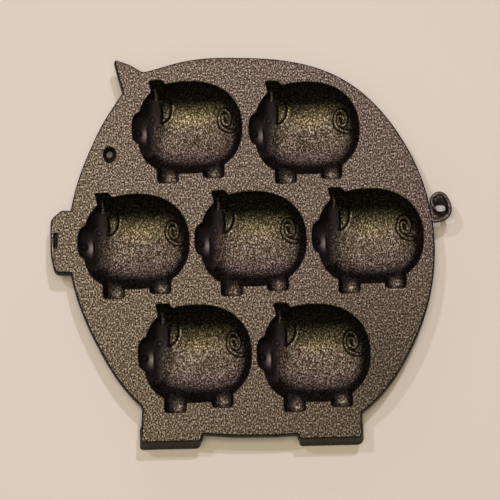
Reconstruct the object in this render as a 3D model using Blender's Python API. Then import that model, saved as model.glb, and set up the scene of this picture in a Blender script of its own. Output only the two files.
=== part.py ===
"""Cake pan in the shape of a pig, with seven pig-shaped hollows.

The real pan is one heavy iron casting. Here it is split into the regions that a founder would
name: the deck with the outline of the big pig, the seven shells that hang below it, the curl of
the tail, and the two feet under the legs. A narrow seam keeps the regions apart.

Metres. The pan lies flat, its hollows open upward (+Z), and its snout points to -X. The pan's own
origin is in the middle of the body on the deck's top face. An empty sets the finished pan down on
the ground, centred on the world's origin.
"""
import math

import bpy
import bmesh
from mathutils import Matrix, Vector

# Casting
SEAM = 0.0003               # gap between two regions of the casting
DRAFT = 0.12                # outward lean of the outside walls, for each unit of height
OVERCUT = 0.002             # how far a cutter passes the face that it opens
LEAST_ROUND = 0.0002        # radius that an offset corner keeps
ARC_SHARE = 0.48            # share of the shorter side that a corner's arc may take up
OVAL = (2.0,) * 4           # fullness of a plain oval's four corners
SMOOTH_BELOW_DEG = 32.0     # edges between faces that meet at less than this look rounded

# Deck
DECK_THICKNESS = 0.007
DECK_EDGE = 0.0009          # bevel along the deck's top edge
# Distance from the middle to the edge of the body, every thirty degrees anticlockwise from +X
BODY_RADII = (0.1336, 0.1362, 0.1430, 0.1422, 0.1500, 0.1370,
              0.1322, 0.1314, 0.1413, 0.1400, 0.1453, 0.1366)
BODY_STEP_DEG = 5.5
ARC_STEP_DEG = 30.0

# Corners of what stands out of the body, anticlockwise: x, y and the radius that rounds the corner
EAR_CORNERS = (
    (-0.0705, 0.1343, 0.004),
    (-0.0770, 0.1328, 0.005),
    (-0.0860, 0.1388, 0.020),
    (-0.0984, 0.1436, 0.0013),
    (-0.0948, 0.1290, 0.030),
    (-0.0916, 0.1178, 0.0008),
)
SNOUT_CORNERS = (
    (-0.1304, 0.0283, 0.0012),
    (-0.1370, 0.0291, 0.004),
    (-0.1452, 0.0222, 0.007),
    (-0.1450, -0.0030, 0.030),
    (-0.1420, -0.0174, 0.0045),
    (-0.1300, -0.0179, 0.0015),
)
LEG_END = -0.1415
FRONT_LEG_CORNERS = (
    (-0.0794, -0.1176, 0.003),
    (-0.0808, LEG_END, 0.002),
    (-0.0386, LEG_END, 0.002),
    (-0.0370, -0.1362, 0.0015),
)
BELLY_CORNER = (-0.0010, -0.1394, 0.250)
REAR_LEG_CORNERS = (
    (0.0306, -0.1378, 0.0012),
    (0.0313, LEG_END, 0.002),
    (0.0760, LEG_END, 0.002),
    (0.0760, -0.1243, 0.002),
)
# Directions from the middle, in degrees, between which the bare body makes the deck's outline
BACK_ARC = (-58.0, 112.0)
FACE_ARC = (134.5, 166.6)
CHEST_ARC = (188.2, 235.0)

# Eye, a hole that narrows downward, and the nostril's slot
EYE_PLACE = (-0.1018, 0.0701)
EYE_TOP = (0.0044, 0.0058)
EYE_BOTTOM = (0.0023, 0.0028)
EYE_SIDES = 20
NOSTRIL_PLACE = (-0.1415, 0.0065)
NOSTRIL_SIZE = (0.0029, 0.0113)
NOSTRIL_DEPTH = 0.0026
NOSTRIL_TAPER = 0.0007      # how far the slot draws in on each side, top to bottom

# The hollows stand in rows, half a pitch apart from row to row
PITCH_ACROSS = 0.0851
PITCH_DOWN = 0.0839
MIDDLE_HOLLOW = (0.0008, 0.0028)
# Name, steps across and up from the middle hollow, and how far the pattern maker missed the grid
HOLLOWS = (
    ("cup_upper_left", -0.5, 1, (-0.0024, 0.0013)),
    ("cup_upper_right", 0.5, 1, (-0.0012, -0.0014)),
    ("cup_middle_left", -1, 0, (0.0, 0.0)),
    ("cup_centre", 0, 0, (0.0, 0.0)),
    ("cup_middle_right", 1, 0, (0.0, 0.0)),
    ("cup_lower_left", -0.5, -1, (0.0007, 0.0007)),
    ("cup_lower_right", 0.5, -1, (0.0005, -0.0008)),
)

# One hollow: a little pig on its side. Places are from the hollow's own middle.
WALL = 0.0035
BOWL_PLACE = (0.0015, 0.0015)
BOWL_LEFT = 0.0380
BOWL_RIGHT = 0.0386
BOWL_UP = 0.0355
BOWL_DOWN = 0.0350
BOWL_DEPTH = 0.022
# Fullness of the bowl's four corners in plan, from the right ear round to the rump
BOWL_FULLNESS = (2.2, 2.45, 2.9, 2.3)
BOWL_SECTION = 1.4          # 1 gives the section of a parabola, 2 that of an ellipse
BOWL_SIDES = 36
BOWL_RING_DEG = (20.0, 38.0, 56.0, 72.0, 86.0)
SHELL_SIDES = 28
SHELL_RING_DEG = (15.0, 34.0, 54.0, 78.0)
BOTTOM_CROWN = 0.001        # part of the shell's swell that is cast flat, for the pan to rest on

# Share of the inset and of the depth at which a pocket's drafted wall turns into its rounded foot
POCKET_TURN = (0.5, 0.86)
LEG_DEPTH = 0.0085
LEG_ROUND = 0.0026
LEG_INSET = 0.0022
LEG_TOP = -0.0200
FRONT_LEG = (-0.0150, 0.0156, -0.0403)      # middle, width and end
REAR_LEG = (0.0185, 0.0154, -0.0373)

SNOUT_PLACE = (-0.0300, 0.0018)
SNOUT_HALF = (0.0109, 0.0124)
SNOUT_DEPTH = 0.0110
SNOUT_FULLNESS = 3.2
SNOUT_SECTION = 1.6
SNOUT_SIDES = 16
SNOUT_RING_DEG = (20.0, 48.0)

EAR_DEPTH = 0.0085
EAR_INSET = 0.0018
HOLLOW_EAR_CORNERS = (
    (-0.0153, 0.0344, 0.0012),
    (-0.0192, 0.0384, 0.0025),
    (-0.0285, 0.0382, 0.0009),
    (-0.0266, 0.0310, 0.0030),
    (-0.0255, 0.0240, 0.0),
    (-0.0170, 0.0240, 0.0),
)

# Near ear, a leaf pressed into the bowl beside the face
LEAF_PLACE = (-0.0164, 0.0168)
LEAF_HALF = (0.0037, 0.0086, 0.0020)
LEAF_TURN_DEG = -19.0

# Little tail, a thin bead that curls in twice on the bowl's side: points on its middle line
CURL_POINTS = (
    (0.0335, 0.0016),
    (0.0296, 0.0030),
    (0.0252, 0.0066),
    (0.0234, 0.0120),
    (0.0256, 0.0179),
    (0.0294, 0.0173),
    (0.0317, 0.0120),
    (0.0304, 0.0072),
    (0.0266, 0.0090),
    (0.0260, 0.0142),
    (0.0292, 0.0136),
    (0.0301, 0.0094),
)
CURL_BEAD = 0.0009
CURL_STEPS = 2              # straight pieces between two of the points

# Tail, a tapering bead that curls in over a funnel, whose hole serves to hang the pan up
TAIL_DIRECTION_DEG = 10.08
TAIL_REACH = 0.00779        # from the body's edge to the middle of the curl
# Distance from the middle of the curl to the middle of the bead, every forty-five degrees
TAIL_RADII = (0.0122, 0.00915, 0.0077, 0.0064, 0.0067, 0.00935, 0.0083, 0.0050, 0.0034)
TAIL_START_DEG = -135.0
TAIL_STEP_DEG = 45.0
TAIL_POINTS = 29
TAIL_BEAD_START = 0.0017
TAIL_BEAD_END = 0.0012
TAIL_SINK = 0.0024          # how far the inner end of the bead dips into the funnel
TAIL_RIM_END_DEG = 160.0    # direction in which the outer edge runs back into the body
TAIL_RIM_SIDES = 24
TAIL_WEB_TOP = -0.0020
TAIL_UNDERSIDE = -0.0056
TAIL_TUCK = 0.0014          # how far the web's underside draws in below its bead
FUNNEL_HALF = (0.0066, 0.0086)
TAIL_HOLE_OFFSET = (-0.0001, -0.0003)       # from the middle of the curl
TAIL_HOLE_HALF = (0.0038, 0.0024)
TAIL_HOLE_FULLNESS = (3.0,) * 4
TAIL_HOLE_LENGTH = 0.0020   # height of the straight hole below the funnel
TAIL_HOLE_SIDES = 24

# Feet under the ends of the legs
FOOT_WALL = 0.004
FOOT_RETURN = 0.012
FOOT_FILLET = 0.001         # in the inner corners of the wall
# Share of the foot's height from the deck down to the ground, and how far its end spreads there
FOOT_SPREAD = ((0.0, 0.0009), (0.45, 0.0013), (0.72, 0.0020), (0.93, 0.0030), (1.0, 0.0027))
FRONT_FOOT_ROUNDS = (0.0020, 0.0036)        # corner radii of the outer side and of the inner side
REAR_FOOT_ROUNDS = (0.0050, 0.0020)
FOOT_SIDE_SHARE = 0.8       # spread of the outer side beside that of the end
FOOT_INNER_LEAN = 0.0018    # how far the side next to the belly draws in, top to bottom

PAN_HEIGHT = BOWL_DEPTH + WALL
IRON = (0.052, 0.046, 0.040)
IRON_METAL = 0.6
IRON_ROUGHNESS = 0.62


def clear_scene():
    for item in list(bpy.data.objects):
        bpy.data.objects.remove(item, do_unlink=True)


def new_collection(name):
    collection = bpy.data.collections.new(name)
    bpy.context.scene.collection.children.link(collection)
    return collection


def catmull_rom(a, b, c, d, t):
    """Value between b and c of the smooth curve through four evenly spaced values."""
    return 0.5 * (2 * b + (c - a) * t + (2 * a - 5 * b + 4 * c - d) * t ** 2 + (3 * b - a - 3 * c + d) * t ** 3)


def body_point(degrees):
    count = len(BODY_RADII)
    place = degrees / (360.0 / count)
    first = math.floor(place)
    near = [BODY_RADII[(first + step) % count] for step in (-1, 0, 1, 2)]
    radius = catmull_rom(*near, place - first)
    return radius * math.cos(math.radians(degrees)), radius * math.sin(math.radians(degrees))


def body_arc(limits):
    """Corners without rounding along the body, from one direction to another."""
    start, end = limits
    count = max(1, round((end - start) / BODY_STEP_DEG))
    steps = (start + (end - start) * i / count for i in range(count + 1))
    return [(*body_point(degrees), 0.0) for degrees in steps]


def corner_turn(corners, i):
    """Unit directions from a corner to its neighbours, their distances, and the signed turn there."""
    here = Vector(corners[i][:2])
    back = Vector(corners[i - 1][:2]) - here
    ahead = Vector(corners[(i + 1) % len(corners)][:2]) - here
    turn = math.pi - back.angle(ahead)
    leftward = ahead.x * back.y - ahead.y * back.x
    return back.normalized(), ahead.normalized(), min(back.length, ahead.length), math.copysign(turn, leftward)


def round_corners(corners):
    """Closed outline through corners given as x, y and radius, each rounded by an arc."""
    outline = []
    for i, (x, y, radius) in enumerate(corners):
        back, ahead, room, turn = corner_turn(corners, i)
        if radius == 0 or abs(turn) < 1e-4:
            outline.append((x, y))
            continue
        reach = min(radius * math.tan(abs(turn) / 2), ARC_SHARE * room)
        arc_radius = reach / math.tan(abs(turn) / 2)
        centre = Vector((x, y)) + (back + ahead).normalized() * math.hypot(reach, arc_radius)
        spoke = Vector((x, y)) + back * reach - centre
        count = max(1, math.ceil(math.degrees(abs(turn)) / ARC_STEP_DEG))
        for step in range(count + 1):
            point = centre + Matrix.Rotation(turn * step / count, 2) @ spoke
            outline.append((point.x, point.y))
    return outline


def move_corners(corners, distance):
    """Corners of an anticlockwise outline moved outward, or inward where the distance is negative."""
    moved = []
    for i, (x, y, radius) in enumerate(corners):
        back, ahead, _, turn = corner_turn(corners, i)
        outward = Vector((ahead.y - back.y, back.x - ahead.x)).normalized()
        place = Vector((x, y)) + outward * distance / math.cos(turn / 2)
        if radius > 0:
            radius = max(radius + math.copysign(distance, turn * distance), LEAST_ROUND)
        moved.append((place.x, place.y, radius))
    return moved


def full_oval(place, halves, fullness, sides):
    """Oval whose right, up, left and down half sizes and whose four corners are set apart."""
    right, up, left, down = halves
    points = []
    for i in range(sides):
        angle = 2 * math.pi * i / sides
        across, along = math.cos(angle), math.sin(angle)
        power = fullness[i * 4 // sides]
        half_x = right if across > 0 else left
        half_y = up if along > 0 else down
        reach = (abs(across / half_x) ** power + abs(along / half_y) ** power) ** (-1 / power)
        points.append((place[0] + across * reach, place[1] + along * reach))
    return points


def loft(name, rings, collection):
    """Closed solid through rings of equally many points, given from the lowest to the highest."""
    shape = bmesh.new()
    rows = [[shape.verts.new((x, y, z)) for x, y in outline] for outline, z in rings]
    count = len(rows[0])
    shape.faces.new(reversed(rows[0]))
    shape.faces.new(rows[-1])
    for low, high in zip(rows, rows[1:]):
        for i in range(count):
            j = (i + 1) % count
            shape.faces.new((low[i], low[j], high[j], high[i]))
    mesh = bpy.data.meshes.new(name)
    shape.to_mesh(mesh)
    shape.free()
    mesh.shade_smooth()
    item = bpy.data.objects.new(name, mesh)
    collection.objects.link(item)
    return item


def bead(name, line, roundness, collection):
    """Closed rod along points given as x, y, z and radius."""
    curve = bpy.data.curves.new(name, 'CURVE')
    curve.dimensions = '3D'
    curve.bevel_depth = 1.0
    curve.bevel_resolution = roundness
    curve.use_fill_caps = True
    spline = curve.splines.new('POLY')
    spline.points.add(len(line) - 1)
    for point, (x, y, z, radius) in zip(spline.points, line):
        point.co = (x, y, z, 1.0)
        point.radius = radius
    wire = bpy.data.objects.new(name + "_wire", curve)
    collection.objects.link(wire)
    bpy.context.view_layer.update()
    evaluated = wire.evaluated_get(bpy.context.evaluated_depsgraph_get())
    mesh = bpy.data.meshes.new_from_object(evaluated)
    bpy.data.objects.remove(wire)
    shape = bmesh.new()
    shape.from_mesh(mesh)
    bmesh.ops.remove_doubles(shape, verts=shape.verts, dist=1e-6)
    bmesh.ops.recalc_face_normals(shape, faces=shape.faces)
    shape.to_mesh(mesh)
    shape.free()
    mesh.shade_smooth()
    item = bpy.data.objects.new(name, mesh)
    collection.objects.link(item)
    return as_cutter(item)


def as_cutter(item):
    item.hide_render = True
    item.display_type = 'WIRE'
    return item


def boolean(target, other, operation):
    modifier = target.modifiers.new(other.name, 'BOOLEAN')
    modifier.operation = operation
    modifier.solver = 'EXACT'
    modifier.object = other


def settle(item):
    """Replaces an object's mesh with what its modifiers make of it."""
    bpy.context.view_layer.update()
    evaluated = item.evaluated_get(bpy.context.evaluated_depsgraph_get())
    mesh = bpy.data.meshes.new_from_object(evaluated)
    item.modifiers.clear()
    item.data = mesh
    return item


def joined(pieces):
    first, *others = pieces
    for other in others:
        boolean(first, other, 'UNION')
    return settle(first)


def half_space(name, low, high, collection):
    """Wide block between two heights, for trimming."""
    side = 0.2
    square = [(-side, -side), (side, -side), (side, side), (-side, side)]
    return as_cutter(loft(name, [(square, low), (square, high)], collection))


def swell(name, place, halves, depth, section, fullness, sides, ring_degrees, collection):
    """Bulge that hangs from the deck's top plane, in rings from its lowest to its mouth."""
    def ring(scale, z):
        return full_oval(place, [half * scale for half in halves], fullness, sides), z

    rings = []
    for degrees in reversed(ring_degrees):
        angle = math.radians(degrees)
        rings.append(ring(math.cos(angle), -depth * math.sin(angle) ** (2 / section)))
    rings.append(ring(1.0, 0.0))
    rings.append(ring(1.0, OVERCUT))
    return as_cutter(loft(name, rings, collection))


def pocket(name, corners, depth, inset, collection):
    """Prism below the deck's top plane, drafted inward and rounded where it meets its floor."""
    mouth = round_corners(corners)
    turn_inset, turn_depth = POCKET_TURN
    rings = (
        (round_corners(move_corners(corners, -inset)), -depth),
        (round_corners(move_corners(corners, -turn_inset * inset)), -turn_depth * depth),
        (mouth, 0.0),
        (mouth, OVERCUT),
    )
    return as_cutter(loft(name, rings, collection))


def leg_corners(leg):
    middle, width, end = leg
    left, right = middle - width / 2, middle + width / 2
    return (
        (left, end, LEG_ROUND),
        (right, end, LEG_ROUND),
        (right, LEG_TOP, 0.0),
        (left, LEG_TOP, 0.0),
    )


def pig_form(prefix, grow, crown, sides, ring_degrees, collection):
    """The little pig as a solid: its hollow where grow is 0, or its shell's outside."""
    bowl = swell(prefix + "_bowl", BOWL_PLACE,
                 (BOWL_RIGHT + grow, BOWL_UP + grow, BOWL_LEFT + grow, BOWL_DOWN + grow),
                 BOWL_DEPTH + grow + crown, BOWL_SECTION, BOWL_FULLNESS, sides, ring_degrees, collection)
    across, along = SNOUT_HALF
    snout = swell(prefix + "_snout", SNOUT_PLACE, (across + grow, along + grow) * 2, SNOUT_DEPTH + grow,
                  SNOUT_SECTION, (SNOUT_FULLNESS,) * 4, SNOUT_SIDES, SNOUT_RING_DEG, collection)
    ear = pocket(prefix + "_ear", move_corners(HOLLOW_EAR_CORNERS, grow), EAR_DEPTH + grow, EAR_INSET,
                 collection)
    legs = [pocket(f"{prefix}_{name}_leg", move_corners(leg_corners(leg), grow), LEG_DEPTH + grow,
                   LEG_INSET, collection)
            for name, leg in (("front", FRONT_LEG), ("rear", REAR_LEG))]
    return joined([bowl, snout, ear, *legs])


def bowl_depth_at(x, y):
    """Depth of the plain bowl below a point of its plan."""
    across, along = x - BOWL_PLACE[0], y - BOWL_PLACE[1]
    corner = (0 if along > 0 else 3) if across > 0 else (1 if along > 0 else 2)
    power = BOWL_FULLNESS[corner]
    half_x = BOWL_RIGHT if across > 0 else BOWL_LEFT
    half_y = BOWL_UP if along > 0 else BOWL_DOWN
    share = (abs(across / half_x) ** power + abs(along / half_y) ** power) ** (2 / power)
    return BOWL_DEPTH * max(0.0, 1 - share) ** (1 / BOWL_SECTION)


def leaf_cutter(collection):
    """Lens laid along the bowl, which leaves the print of the near ear."""
    shape = bmesh.new()
    bmesh.ops.create_uvsphere(shape, u_segments=12, v_segments=4, radius=1.0)
    mesh = bpy.data.meshes.new("near_ear")
    shape.to_mesh(mesh)
    shape.free()
    leaf = bpy.data.objects.new("near_ear", mesh)
    collection.objects.link(leaf)
    x, y = LEAF_PLACE
    reach = LEAF_HALF[1]
    fall = bowl_depth_at(x, y + reach / 2) - bowl_depth_at(x, y - reach / 2)
    lean = bowl_depth_at(x + reach / 2, y) - bowl_depth_at(x - reach / 2, y)
    leaf.location = (x, y, -bowl_depth_at(x, y))
    leaf.rotation_euler = (math.atan2(-fall, reach), math.atan2(lean, reach), math.radians(LEAF_TURN_DEG))
    leaf.scale = LEAF_HALF
    return as_cutter(leaf)


def hollow_cutter(collection):
    hollow = pig_form("hollow", 0.0, 0.0, BOWL_SIDES, BOWL_RING_DEG, collection)
    boolean(hollow, leaf_cutter(collection), 'UNION')
    return settle(hollow)


def hollow_place(step_across, step_up, miss):
    x = MIDDLE_HOLLOW[0] + step_across * PITCH_ACROSS + miss[0]
    y = MIDDLE_HOLLOW[1] + step_up * PITCH_DOWN + miss[1]
    return x, y, 0.0


def curl_bead(shell, collection):
    """Bead of the little tail, laid along the inside of the shell."""
    line = []
    last = len(CURL_POINTS) - 1
    for i in range(last * CURL_STEPS + 1):
        first = min(i // CURL_STEPS, last - 1)
        near = [CURL_POINTS[min(max(first + step, 0), last)] for step in (-1, 0, 1, 2)]
        x, y = (catmull_rom(*along, i / CURL_STEPS - first) for along in zip(*near))
        _, touch, _, _ = shell.ray_cast((x, y, 0.0), (0.0, 0.0, -1.0))
        line.append((x, y, touch.z, CURL_BEAD))
    return bead("little_tail", line, 0, collection)


def cup_mesh(hollow, collection):
    """Shell of one hollow, from the deck's underside to the ground."""
    shell = pig_form("shell", WALL, BOTTOM_CROWN, SHELL_SIDES, SHELL_RING_DEG, collection)
    top = -DECK_THICKNESS - SEAM
    boolean(shell, half_space("shell_band", -PAN_HEIGHT, top, collection), 'INTERSECT')
    boolean(shell, hollow, 'DIFFERENCE')
    settle(shell)
    boolean(shell, curl_bead(shell, collection), 'UNION')
    settle(shell)
    shell.data.set_sharp_from_angle(angle=math.radians(SMOOTH_BELOW_DEG))
    return shell.data


def deck_outline(distance):
    """Outline of the big pig, moved outward by a distance."""
    corners = body_arc(BACK_ARC)
    corners += EAR_CORNERS
    corners += body_arc(FACE_ARC)
    corners += SNOUT_CORNERS
    corners += body_arc(CHEST_ARC)
    corners += FRONT_LEG_CORNERS
    corners.append(BELLY_CORNER)
    corners += REAR_LEG_CORNERS
    return round_corners(move_corners(corners, distance))


def make_deck(hollow, parts, cutters):
    rings = (
        (deck_outline(DRAFT * DECK_THICKNESS), -DECK_THICKNESS),
        (deck_outline(DRAFT * DECK_EDGE), -DECK_EDGE),
        (deck_outline(-DECK_EDGE), 0.0),
    )
    deck = loft("deck", rings, parts)
    for name, step_across, step_up, miss in HOLLOWS:
        cutter = bpy.data.objects.new("mouth_of_" + name, hollow.data)
        cutters.objects.link(cutter)
        cutter.location = hollow_place(step_across, step_up, miss)
        boolean(deck, as_cutter(cutter), 'DIFFERENCE')
    boolean(deck, eye_cutter(cutters), 'DIFFERENCE')
    boolean(deck, nostril_cutter(cutters), 'DIFFERENCE')
    return deck


def eye_cutter(collection):
    """Tapered oval plug, wider at the top."""
    def ring(z):
        share = -z / DECK_THICKNESS
        across = EYE_TOP[0] + (EYE_BOTTOM[0] - EYE_TOP[0]) * share
        along = EYE_TOP[1] + (EYE_BOTTOM[1] - EYE_TOP[1]) * share
        return full_oval(EYE_PLACE, (across, along) * 2, OVAL, EYE_SIDES), z

    overcut = OVERCUT / 4
    return as_cutter(loft("eye_plug", [ring(-DECK_THICKNESS - overcut), ring(overcut)], collection))


def nostril_cutter(collection):
    width, length = NOSTRIL_SIZE
    x, y = NOSTRIL_PLACE
    corners = [(x + side_x * width / 2, y + side_y * length / 2, ARC_SHARE * width)
               for side_x, side_y in ((-1, -1), (1, -1), (1, 1), (-1, 1))]
    mouth = round_corners(corners)
    floor = round_corners(move_corners(corners, -NOSTRIL_TAPER))
    rings = ((floor, -NOSTRIL_DEPTH), (mouth, 0.0), (mouth, OVERCUT))
    return as_cutter(loft("nostril_plug", rings, collection))


def make_cup(name, mesh, place, parts):
    cup = bpy.data.objects.new(name, mesh)
    parts.objects.link(cup)
    cup.location = place
    return cup


def tail_middle():
    """Middle of the tail's curl, beyond the edge of the body."""
    x, y = body_point(TAIL_DIRECTION_DEG)
    reach = 1 + TAIL_REACH / math.hypot(x, y)
    return x * reach, y * reach


def curl_point(degrees, out):
    """Point at a distance outside the middle line of the tail's bead."""
    last = len(TAIL_RADII) - 1
    place = (degrees - TAIL_START_DEG) / TAIL_STEP_DEG
    first = min(math.floor(place), last - 1)
    near = [TAIL_RADII[min(max(first + step, 0), last)] for step in (-1, 0, 1, 2)]
    radius = catmull_rom(*near, place - first) + out
    angle = math.radians(degrees)
    x, y = tail_middle()
    return x + radius * math.cos(angle), y + radius * math.sin(angle)


def tail_line():
    """Points and radii of the tail's bead, level with the deck until its inner end dips."""
    turn = TAIL_STEP_DEG * (len(TAIL_RADII) - 1)
    line = []
    for i in range(TAIL_POINTS):
        t = i / (TAIL_POINTS - 1)
        radius = TAIL_BEAD_START + (TAIL_BEAD_END - TAIL_BEAD_START) * t
        x, y = curl_point(TAIL_START_DEG + turn * t, 0.0)
        line.append((x, y, -radius - TAIL_SINK * t ** 6, radius))
    return line


def tail_rim(out):
    """Outer edge of the web under the bead, closed inside the body."""
    sweep = TAIL_RIM_END_DEG - TAIL_START_DEG
    return [curl_point(TAIL_START_DEG + sweep * i / TAIL_RIM_SIDES, out) for i in range(TAIL_RIM_SIDES + 1)]


def make_tail(parts, cutters):
    """Web and bead of the tail, hollowed by a funnel and cut to lie against the deck's edge."""
    tail = loft("tail_curl", [(tail_rim(TAIL_BEAD_START - TAIL_TUCK), TAIL_UNDERSIDE),
                              (tail_rim(TAIL_BEAD_START), TAIL_WEB_TOP)], parts)
    middle = tail_middle()
    hole_middle = [along + offset for along, offset in zip(middle, TAIL_HOLE_OFFSET)]
    mouth = full_oval(middle, FUNNEL_HALF * 2, OVAL, TAIL_HOLE_SIDES)
    hole = full_oval(hole_middle, TAIL_HOLE_HALF * 2, TAIL_HOLE_FULLNESS, TAIL_HOLE_SIDES)
    funnel = loft("tail_funnel", [(hole, TAIL_UNDERSIDE + TAIL_HOLE_LENGTH), (mouth, TAIL_WEB_TOP),
                                  (mouth, TAIL_WEB_TOP + OVERCUT)], cutters)
    boolean(tail, as_cutter(funnel), 'DIFFERENCE')
    boolean(tail, bead("tail_bead", tail_line(), 2, cutters), 'UNION')
    plug = loft("tail_hole_plug", [(hole, TAIL_UNDERSIDE - OVERCUT), (hole, OVERCUT)], cutters)
    boolean(tail, as_cutter(plug), 'DIFFERENCE')
    flare = DRAFT * DECK_THICKNESS
    body = [
        (deck_outline(flare + SEAM), -DECK_THICKNESS - OVERCUT),
        (deck_outline(flare + SEAM), -DECK_THICKNESS),
        (deck_outline(SEAM), 0.0),
        (deck_outline(SEAM), OVERCUT),
    ]
    boolean(tail, as_cutter(loft("deck_clearance", body, cutters)), 'DIFFERENCE')
    return tail


def foot_outline(outer, inner, end_out, side_out, inner_out, radii):
    """Plan of the wall round the end of a leg, open towards the body."""
    away = math.copysign(1.0, outer - inner)
    outer_x = outer + away * side_out
    inner_x = inner - away * inner_out
    bottom = LEG_END - end_out
    top = LEG_END + FOOT_RETURN
    wall = away * FOOT_WALL
    corners = [
        (outer_x, top, 0.0),
        (outer_x, bottom, radii[0]),
        (inner_x, bottom, radii[1]),
        (inner_x, top, 0.0),
        (inner_x + wall, top, 0.0),
        (inner_x + wall, bottom + FOOT_WALL, FOOT_FILLET),
        (outer_x - wall, bottom + FOOT_WALL, FOOT_FILLET),
        (outer_x - wall, top, 0.0),
    ]
    if away > 0:
        corners.reverse()
    return round_corners(corners)


def make_foot(name, outer, inner, radii, parts):
    """Wall under the end of a leg, which spreads towards the ground at its end and outer side."""
    ground = -PAN_HEIGHT
    top = -DECK_THICKNESS - SEAM
    rings = []
    for share, spread in reversed(FOOT_SPREAD):
        outline = foot_outline(outer, inner, spread, FOOT_SIDE_SHARE * spread,
                               FOOT_SPREAD[0][1] - FOOT_INNER_LEAN * share, radii)
        rings.append((outline, top + (ground - top) * share))
    return loft(name, rings, parts)


def paint(item):
    """Gives one object its own cast-iron material."""
    material = bpy.data.materials.new(item.name + "_iron")
    material.use_nodes = True
    shader = material.node_tree.nodes["Principled BSDF"]
    shader.inputs["Base Color"].default_value = (*IRON, 1.0)
    shader.inputs["Metallic"].default_value = IRON_METAL
    shader.inputs["Roughness"].default_value = IRON_ROUGHNESS
    if not item.material_slots:
        item.data.materials.append(None)
    item.material_slots[0].link = 'OBJECT'
    item.material_slots[0].material = material


def set_down(pieces, collection):
    """Parents the pan to an empty that brings its box's bottom centre to the world's origin."""
    bpy.context.view_layer.update()
    graph = bpy.context.evaluated_depsgraph_get()
    corners = [item.matrix_world @ Vector(corner)
               for item in pieces for corner in item.evaluated_get(graph).bound_box]
    low = [min(corner[axis] for corner in corners) for axis in range(3)]
    high = [max(corner[axis] for corner in corners) for axis in range(3)]
    pan = bpy.data.objects.new("pan", None)
    collection.objects.link(pan)
    pan.location = (-(low[0] + high[0]) / 2, -(low[1] + high[1]) / 2, -low[2])
    return pan


def main():
    clear_scene()
    parts = new_collection("pig_cake_pan")
    cutters = new_collection("cutters")
    hollow = hollow_cutter(cutters)
    shared_cup = cup_mesh(hollow, cutters)
    pieces = [make_deck(hollow, parts, cutters)]
    for name, step_across, step_up, miss in HOLLOWS:
        pieces.append(make_cup(name, shared_cup, hollow_place(step_across, step_up, miss), parts))
    pieces.append(make_tail(parts, cutters))
    front_left, front_right = (corner[0] for corner in FRONT_LEG_CORNERS if corner[1] == LEG_END)
    rear_left, rear_right = (corner[0] for corner in REAR_LEG_CORNERS if corner[1] == LEG_END)
    pieces.append(make_foot("front_foot", front_left, front_right, FRONT_FOOT_ROUNDS, parts))
    pieces.append(make_foot("rear_foot", rear_right, rear_left, REAR_FOOT_ROUNDS, parts))
    for piece in pieces:
        paint(piece)
    pan = set_down(pieces, parts)
    for item in list(parts.objects) + list(cutters.objects):
        if item is not pan:
            item.parent = pan


main()
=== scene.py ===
"""Looks of the pig cake pan: its castings in fine mesh, their iron, the floor, the light and the camera.

Shapes are in millimetres from the middle of the body on the deck's top face, and become metres in the
frame's axes when a mesh is made.
"""
import math

import bmesh
import bpy
import numpy as np
from mathutils import Matrix, Vector
from mathutils.geometry import delaunay_2d_cdt


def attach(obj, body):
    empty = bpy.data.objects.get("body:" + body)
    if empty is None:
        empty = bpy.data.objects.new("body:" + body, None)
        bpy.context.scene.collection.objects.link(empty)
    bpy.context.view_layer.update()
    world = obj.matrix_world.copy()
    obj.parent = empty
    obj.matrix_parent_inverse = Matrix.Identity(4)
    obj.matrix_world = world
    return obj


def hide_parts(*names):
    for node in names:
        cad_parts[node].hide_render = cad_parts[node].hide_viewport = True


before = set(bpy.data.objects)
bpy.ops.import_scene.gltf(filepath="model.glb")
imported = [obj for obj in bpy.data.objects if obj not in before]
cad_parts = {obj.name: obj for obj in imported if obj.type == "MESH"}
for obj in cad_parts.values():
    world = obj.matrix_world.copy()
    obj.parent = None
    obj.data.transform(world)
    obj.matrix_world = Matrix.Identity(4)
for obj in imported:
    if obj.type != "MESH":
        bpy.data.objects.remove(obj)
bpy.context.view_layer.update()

MM = 0.001  # metres in a millimetre
RECTANGLE = ((-1, -1), (1, -1), (1, 1), (-1, 1))

# Where the pan's own origin lies in the frame, in millimetres
PAN_AT = (-0.818, 0.439, 25.5)
DECK = 7.0  # thickness of the deck
DRAFT = 0.12  # lean of the deck's side for each millimetre of height

# Outline of the big pig, whose corners are given as x, y and radius
BODY_RADII = (133.6, 136.2, 143.0, 142.2, 150.0, 137.0, 132.2, 131.4, 141.3, 140.0, 145.3, 136.6)
BODY_STEP_DEG = 1.5
ARC_STEP_DEG = 9.0
CORNER_ROOM = 0.48  # most of a side that one rounding takes
LEAST_RADIUS = 0.2
EAR_CORNERS = ((-70.5, 134.3, 4.0), (-77.0, 132.8, 5.0), (-86.0, 138.8, 20.0),
               (-98.4, 143.6, 1.3), (-94.8, 129.0, 30.0), (-91.6, 117.8, 0.8))
SNOUT_CORNERS = ((-130.4, 28.3, 1.2), (-137.0, 29.1, 4.0), (-145.2, 22.2, 7.0),
                 (-145.0, -3.0, 30.0), (-142.0, -17.4, 4.5), (-130.0, -17.9, 1.5))
LEG_END = -141.5
FRONT_LEG_CORNERS = ((-79.4, -117.6, 3.0), (-80.8, LEG_END, 2.0), (-38.6, LEG_END, 2.0), (-37.0, -136.2, 1.5))
BELLY_CORNER = (-1.0, -139.4, 250.0)
REAR_LEG_CORNERS = ((30.6, -137.8, 1.2), (31.3, LEG_END, 2.0), (76.0, LEG_END, 2.0), (76.0, -124.3, 2.0))
BACK_ARC = (-58.0, 112.0)
FACE_ARC = (134.5, 166.6)
CHEST_ARC = (188.2, 235.0)

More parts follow.
